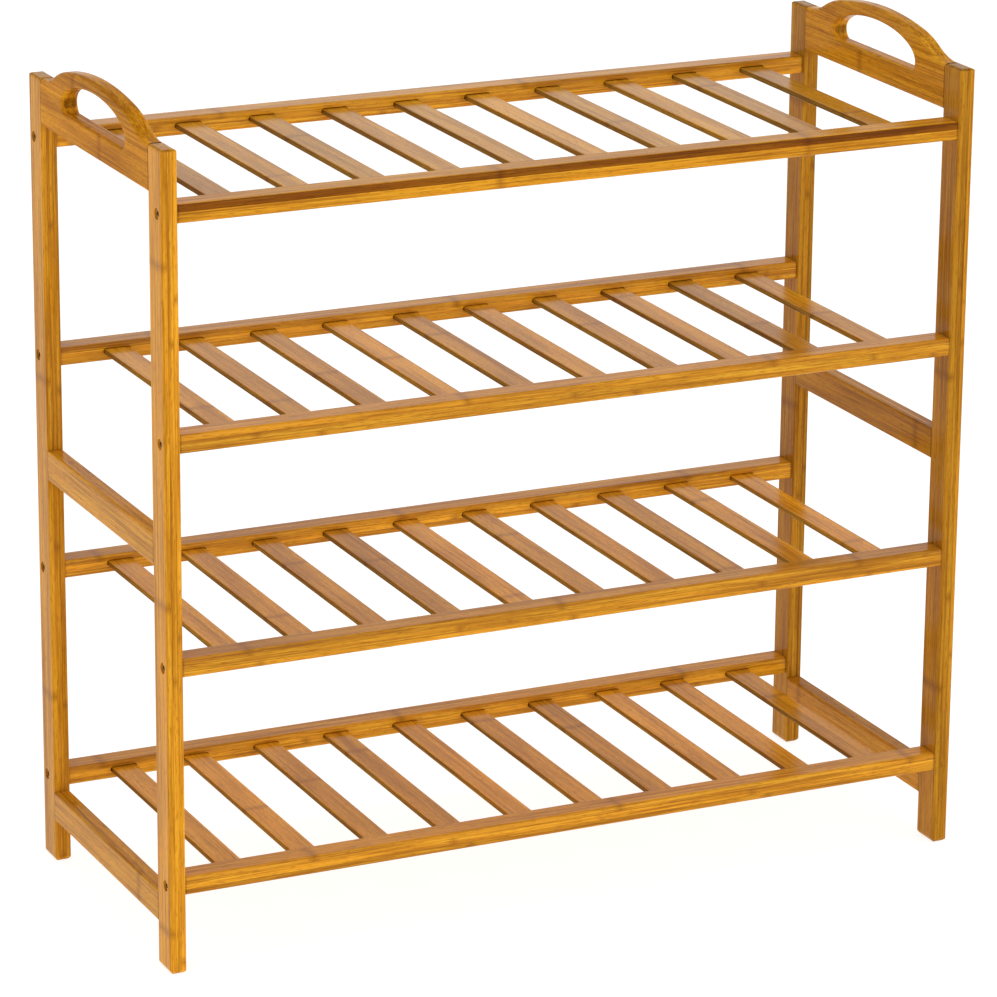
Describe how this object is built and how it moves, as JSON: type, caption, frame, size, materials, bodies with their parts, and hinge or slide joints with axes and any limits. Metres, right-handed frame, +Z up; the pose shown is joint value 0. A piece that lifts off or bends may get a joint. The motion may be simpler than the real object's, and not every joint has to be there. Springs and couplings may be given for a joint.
{
  "type": "shoe rack",
  "caption": "Free-standing tiered bamboo shoe rack: slatted shelves between two end frames whose arched top boards have hand holes.",
  "frame": {"origin": "on the floor, under the middle of the rack", "axes": "+X along the length to the right as seen from the front, +Y to the back, +Z up; the front is on the -Y side"},
  "size_m": [0.7, 0.286, 0.6875],
  "materials": {
    "post_bamboo": "satin clear lacquer over carbonised bamboo",
    "board_bamboo": "satin clear lacquer over carbonised bamboo",
    "rail_bamboo": "satin clear lacquer over carbonised bamboo",
    "slat_bamboo": "satin clear lacquer over carbonised bamboo",
    "dowel_wood": "bare beech",
    "screw_metal": "yellow zinc plate"
  },
  "bodies": {
    "root": {"left_front_post": "post_bamboo", "left_back_post": "post_bamboo", "left_bottom_rail": "board_bamboo", "left_middle_rail": "board_bamboo", "left_handle_board": "board_bamboo", "right_front_post": "post_bamboo", "right_back_post": "post_bamboo", "right_bottom_rail": "board_bamboo", "right_middle_rail": "board_bamboo", "right_handle_board": "board_bamboo", "shelf_1_front_rail": "rail_bamboo", "shelf_1_back_rail": "rail_bamboo", "shelf_1_slat_01": "slat_bamboo", "shelf_1_slat_02": "slat_bamboo", "shelf_1_slat_03": "slat_bamboo", "shelf_1_slat_04": "slat_bamboo", "shelf_1_slat_05": "slat_bamboo", "shelf_1_slat_06": "slat_bamboo", "shelf_1_slat_07": "slat_bamboo", "shelf_1_slat_08": "slat_bamboo", "shelf_1_slat_09": "slat_bamboo", "shelf_1_slat_10": "slat_bamboo", "shelf_2_front_rail": "rail_bamboo", "shelf_2_back_rail": "rail_bamboo", "shelf_2_slat_01": "slat_bamboo", "shelf_2_slat_02": "slat_bamboo", "shelf_2_slat_03": "slat_bamboo", "shelf_2_slat_04": "slat_bamboo", "shelf_2_slat_05": "slat_bamboo", "shelf_2_slat_06": "slat_bamboo", "shelf_2_slat_07": "slat_bamboo", "shelf_2_slat_08": "slat_bamboo", "shelf_2_slat_09": "slat_bamboo", "shelf_2_slat_10": "slat_bamboo", "shelf_3_front_rail": "rail_bamboo", "shelf_3_back_rail": "rail_bamboo", "shelf_3_slat_01": "slat_bamboo", "shelf_3_slat_02": "slat_bamboo", "shelf_3_slat_03": "slat_bamboo", "shelf_3_slat_04": "slat_bamboo", "shelf_3_slat_05": "slat_bamboo", "shelf_3_slat_06": "slat_bamboo", "shelf_3_slat_07": "slat_bamboo", "shelf_3_slat_08": "slat_bamboo", "shelf_3_slat_09": "slat_bamboo", "shelf_3_slat_10": "slat_bamboo", "shelf_4_front_rail": "rail_bamboo", "shelf_4_back_rail": "rail_bamboo", "shelf_4_slat_01": "slat_bamboo", "shelf_4_slat_02": "slat_bamboo", "shelf_4_slat_03": "slat_bamboo", "shelf_4_slat_04": "slat_bamboo", "shelf_4_slat_05": "slat_bamboo", "shelf_4_slat_06": "slat_bamboo", "shelf_4_slat_07": "slat_bamboo", "shelf_4_slat_08": "slat_bamboo", "shelf_4_slat_09": "slat_bamboo", "shelf_4_slat_10": "slat_bamboo", "connector_screws": "screw_metal", "frame_dowels": "dowel_wood"}
  },
  "joints": []
}
